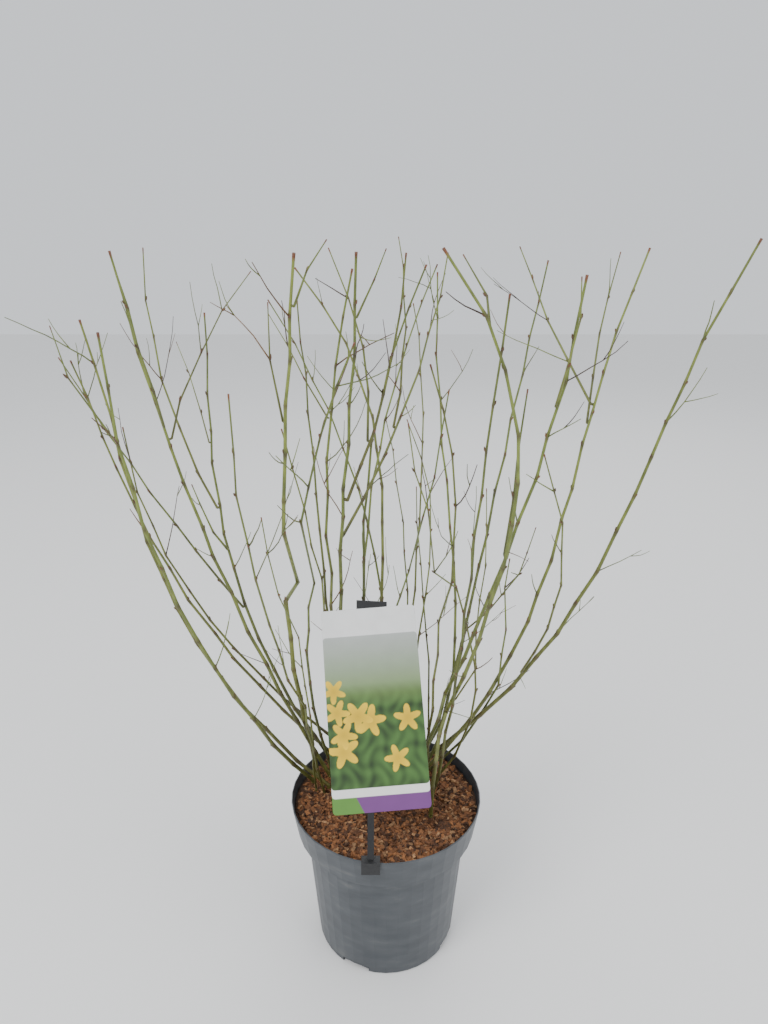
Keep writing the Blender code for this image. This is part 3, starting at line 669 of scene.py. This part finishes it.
ring, spoke = np.meshgrid(
    np.linspace(NEAR_MIDDLE, 1.0, SOIL_RINGS), np.arange(SOIL_SPOKES) * math.tau / SOIL_SPOKES, indexing="ij",
)
bed_x, bed_y = SOIL_RADIUS * ring * np.cos(spoke), SOIL_RADIUS * ring * np.sin(spoke)
bed_z = soil_height(bed_x, bed_y)
bed_points = np.stack((bed_x, bed_y, bed_z), axis=2).reshape(-1, 3)
foot_points = bed_points[-SOIL_SPOKES:].copy()
foot_points[:, 2] = SOIL_TOP - SOIL_SKIRT
low_points = foot_points * (NEAR_MIDDLE, NEAR_MIDDLE, 1.0)
bed_points = np.concatenate((bed_points, foot_points, low_points))
rows = np.arange(SOIL_RINGS + 1)[:, None] * SOIL_SPOKES
a = rows + np.arange(SOIL_SPOKES)
b = rows + (np.arange(SOIL_SPOKES) + 1) % SOIL_SPOKES
bed_faces = np.stack((a, a + SOIL_SPOKES, b + SOIL_SPOKES, b), axis=2).reshape(-1, 4)
soil = Heap()
soil.add(bed_points, bed_faces, BED_TINT)


def turn_about(axis, angle):
    """The rotation matrix for rows of points about Y (axis 1) or Z (axis 2)."""
    c, s = math.cos(angle), math.sin(angle)
    if axis == 1:
        return np.array(((c, 0, s), (0, 1, 0), (-s, 0, c)))
    return np.array(((c, -s, 0), (s, c, 0), (0, 0, 1)))


for _ in range(CHIP_COUNT):
    away = math.sqrt(CHANCE.random()) * (SOIL_RADIUS - CHIP_EDGE_ROOM)
    turn = CHANCE.uniform(0.0, math.tau)
    size = np.array([CHANCE.uniform(low, high) for low, high in CHIP_SIZES])
    spin, tip = CHANCE.uniform(0.0, math.tau), CHANCE.normal(0.0, CHIP_TIPPING)
    chip = (CUBE + CHANCE.uniform(-CHIP_SKEW, CHIP_SKEW, CUBE.shape)) * size
    chip = chip @ turn_about(1, tip) @ turn_about(2, spin)
    x, y = away * math.cos(turn), away * math.sin(turn)
    chip = chip + (x, y, soil_height(x, y) + CHIP_RAISE)
    chip_tint = CHIP_TINTS[CHANCE.choice(len(CHIP_TINTS), p=CHIP_SHARES)] * CHANCE.uniform(*CHIP_TONES)
    soil.add(chip, CUBE_FACES, chip_tint)
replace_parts(soil.piece("soil_chips", SOIL, "bark_soil", smooth=False), "potting_soil")


# Picture label. A printed plastic card: white head, a soft grey-to-green ground, yellow blooms as plain
# stars on green, a pale band and a foot in green and purple. It carries no lettering.
CARD = tinted_material(
    "label_card", roughness=0.33, dark=0.96, light=1.03, scale=60.0, stretch=(1.0, 1.0, 1.0), relief=0.0001,
)
CARD_COLUMNS, CARD_ROWS = 150, 300
CARD_CORNER = 0.004
CARD_BACK = 0.72
HEAD_FROM, BAND_TOP, BAND_FOOT = 0.86, 0.115, 0.075
HEAD_WHITE = np.array((0.80, 0.80, 0.79))
BAND_WHITE = np.array((0.78, 0.78, 0.74))
FOOT_GREEN = np.array((0.10, 0.24, 0.04))
FOOT_PURPLE = np.array((0.16, 0.05, 0.20))
GROUND_GREY = np.array((0.42, 0.44, 0.42))
GROUND_LEAF = np.array((0.16, 0.26, 0.07))
GROUND_DARK = np.array((0.03, 0.07, 0.015))
BLOOM_YELLOW = np.array((0.80, 0.52, 0.02))
GREENING_DEPTH = 0.30
DARK_FROM, DARK_OVER = 0.62, 0.12
LEAF_DARKEST, LEAF_SPREAD = 0.6, 1.6
FOOT_SPLIT = 0.32
BLOOMS = 8
BLOOM_ACROSS, BLOOM_UP = (0.08, 0.92), (0.20, 0.60)
BLOOM_SIZES, BLOOM_TURNS = (0.11, 0.19), (0, 6)
BLOOM_HEART, BLOOM_BRIGHTENING = 0.75, 0.35
PETALS = 5
PETAL_MEAN, PETAL_SWING = 0.72, 0.28
PETAL_EDGE = 0.006


def card_colours(u, v):
    """The print, from shares u across and v up: bands by height, then blooms laid over the lower half.
    A bloom is the ground within a radius that swells and shrinks five times round its middle."""
    greening = np.clip((HEAD_FROM - v) / GREENING_DEPTH, 0, 1)
    colour = GROUND_GREY + (GROUND_LEAF - GROUND_GREY) * greening[..., None]
    mottle = 0.5 + 0.5 * np.sin(u * 23 + np.sin(v * 31) * 2.0) * np.sin(v * 37 + np.cos(u * 19) * 2.0)
    low = np.clip((DARK_FROM - v) / DARK_OVER, 0, 1)
    leaves = GROUND_DARK * (LEAF_DARKEST + LEAF_SPREAD * mottle[..., None])
    colour = colour + (leaves - colour) * low[..., None]
    pick = np.random.default_rng(3)
    for _ in range(BLOOMS):
        across, up = pick.uniform(*BLOOM_ACROSS), pick.uniform(*BLOOM_UP)
        size, turn = pick.uniform(*BLOOM_SIZES), pick.uniform(*BLOOM_TURNS)
        du, dv = (u - across), (v - up) * LABEL_HEIGHT / LABEL_WIDTH
        away, angle = np.hypot(du, dv), np.arctan2(dv, du)
        edge = size * (PETAL_MEAN + PETAL_SWING * np.cos(PETALS * angle + turn))
        petal = np.clip((edge - away) / PETAL_EDGE, 0, 1)[..., None]
        outward = np.clip(away / size, 0, 1)
        shade = BLOOM_YELLOW * (BLOOM_HEART + BLOOM_BRIGHTENING * outward)[..., None]
        colour = colour + (shade - colour) * petal
    colour = np.where((v > HEAD_FROM)[..., None], HEAD_WHITE, colour)
    colour = np.where(((v > BAND_FOOT) & (v < BAND_TOP))[..., None], BAND_WHITE, colour)
    foot = np.where((u + v < FOOT_SPLIT)[..., None], FOOT_GREEN, FOOT_PURPLE)
    return np.where((v <= BAND_FOOT)[..., None], foot, colour)


into_place = np.array(leaning_plane(LABEL_LEAN, LABEL_ROLL, LABEL_MIDDLE))
u, v = np.meshgrid(np.linspace(0, 1, CARD_COLUMNS), np.linspace(0, 1, CARD_ROWS), indexing="ij")
card_x, card_y = (u - 0.5) * LABEL_WIDTH, (v - 0.5) * LABEL_HEIGHT
reach_x = np.clip(np.abs(card_x) - (LABEL_WIDTH / 2 - CARD_CORNER), 0, None)
squeeze = LABEL_HEIGHT / 2 - CARD_CORNER + np.sqrt(np.clip(CARD_CORNER ** 2 - reach_x ** 2, 0, None))
card_y = card_y / (LABEL_HEIGHT / 2) * squeeze
card = Heap()
sheets = []
for level in (LABEL_THICKNESS / 2, -LABEL_THICKNESS / 2):
    local = np.stack((card_x, card_y, np.full_like(card_x, level), np.ones_like(card_x)), axis=2)
    sheets.append((local.reshape(-1, 4) @ into_place.T)[:, :3])
corner = (np.arange(CARD_COLUMNS - 1)[:, None] * CARD_ROWS + np.arange(CARD_ROWS - 1)).reshape(-1)
front = np.stack((corner, corner + CARD_ROWS, corner + CARD_ROWS + 1, corner + 1), axis=1)
total = CARD_COLUMNS * CARD_ROWS
index = np.arange(total).reshape(CARD_COLUMNS, CARD_ROWS)
border = np.concatenate((index[:, 0], index[-1, 1:], index[-2::-1, -1], index[0, -2:0:-1]))
ahead = np.roll(border, -1)
rim = np.stack((border, border + total, ahead + total, ahead), axis=1)
print_tint = card_colours(u, v).reshape(-1, 3)
card.add(np.concatenate(sheets), np.concatenate((front, front[:, ::-1] + total, rim)),
         np.concatenate((print_tint, np.full_like(print_tint, CARD_BACK))))
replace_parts(card.piece("printed_label", CARD, "label_card"), "plant_label")


# Pot and label stick. Both keep the frame's own shape: the pot is dark blue-grey satin plastic with pale
# clouds of dust, and the stick is plain black plastic with a faint moulded grain.
def pot_material():
    """Dark blue-grey plastic with pale clouds of dust, drawn out level round the pot."""
    material, nodes, links, shader = shader_of("pot_plastic", 0.42)
    noise = noise_of(nodes, links, 26.0, 6.0, (1.0, 1.0, 3.0))
    ramp = ramp_of(nodes, links, noise.outputs["Fac"], (
        (0.35, (0.043, 0.049, 0.056)), (0.60, (0.060, 0.067, 0.075)), (0.78, (0.105, 0.108, 0.108)),
    ))
    links.new(ramp.outputs["Color"], shader.inputs["Base Color"])
    bump_of(nodes, links, noise.outputs["Fac"], 0.12, 0.0006, shader)
    return material


def clip_material():
    """Black plastic, almost even, with a fine moulded grain."""
    material, nodes, links, shader = shader_of("clip_plastic", 0.38)
    noise = noise_of(nodes, links, 500.0, 3.0)
    ramp = ramp_of(nodes, links, noise.outputs["Fac"], (
        (0.3, (0.005, 0.005, 0.006)), (0.7, (0.012, 0.012, 0.013)),
    ))
    links.new(ramp.outputs["Color"], shader.inputs["Base Color"])
    bump_of(nodes, links, noise.outputs["Fac"], 0.15, 0.0002, shader)
    return material


for node, material in (("pot", pot_material()), ("label_stick", clip_material())):
    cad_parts[node].data.materials.clear()
    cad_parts[node].data.materials.append(material)


# Stage, light and camera. A plain pale floor, a large soft key light from the left front, a soft fill
# from the right, a weaker light from behind and a gentle sky; the camera stands at the photograph's
# height, tilt and distance.
FLOOR_HALF = 6.0
LIGHTS_AIM = Vector((0.0, 0.0, 0.4))
SKY_COLOUR = (0.86, 0.89, 0.93, 1.0)
SKY_STRENGTH = 1.05


def stage_floor():
    """One large square, level with the underside of the pot."""
    mesh = bpy.data.meshes.new("floor")
    corners = [(x * FLOOR_HALF, y * FLOOR_HALF, 0.0) for x, y in ((-1, -1), (1, -1), (1, 1), (-1, 1))]
    mesh.from_pydata(corners, [], [(0, 1, 2, 3)])
    floor = bpy.data.objects.new("floor", mesh)
    bpy.context.scene.collection.objects.link(floor)
    material, _, _, shader = shader_of("floor_pale", 0.8)
    shader.inputs["Base Color"].default_value = (0.86, 0.855, 0.845, 1.0)
    mesh.materials.append(material)


def area_light(name, place, size, power):
    """A square soft light, size metres wide, turned towards the middle of the shrub."""
    data = bpy.data.lights.new(name, "AREA")
    data.size = size
    data.energy = power
    lamp = bpy.data.objects.new(name, data)
    lamp.location = place
    lamp.rotation_euler = (LIGHTS_AIM - Vector(place)).to_track_quat("-Z", "Y").to_euler()
    bpy.context.scene.collection.objects.link(lamp)


stage_floor()
area_light("key", (-1.6, -1.8, 2.6), size=1.6, power=62.0)
area_light("fill", (2.2, -1.2, 1.6), size=2.2, power=26.0)
area_light("back", (0.6, 2.2, 2.4), size=2.0, power=18.0)
world = bpy.data.worlds.new("soft_sky")
world.use_nodes = True
world.node_tree.nodes["Background"].inputs["Color"].default_value = SKY_COLOUR
world.node_tree.nodes["Background"].inputs["Strength"].default_value = SKY_STRENGTH
bpy.context.scene.world = world

FOCAL_PIXELS, LONG_SIDE_PIXELS, SENSOR_MM = 770.0, 1024.0, 36.0
CAMERA_TILT = math.radians(19.96)
CAMERA_PLACE = (-0.0023, -0.753, 0.825)
camera_data = bpy.data.cameras.new("camera")
camera_data.sensor_width = SENSOR_MM
camera_data.lens = FOCAL_PIXELS / LONG_SIDE_PIXELS * SENSOR_MM
camera_data.clip_start = 0.02
camera = bpy.data.objects.new("camera", camera_data)
camera.location = CAMERA_PLACE
camera.rotation_euler = (math.pi / 2 - CAMERA_TILT, 0.0, 0.0)
bpy.context.scene.collection.objects.link(camera)
bpy.context.scene.camera = camera
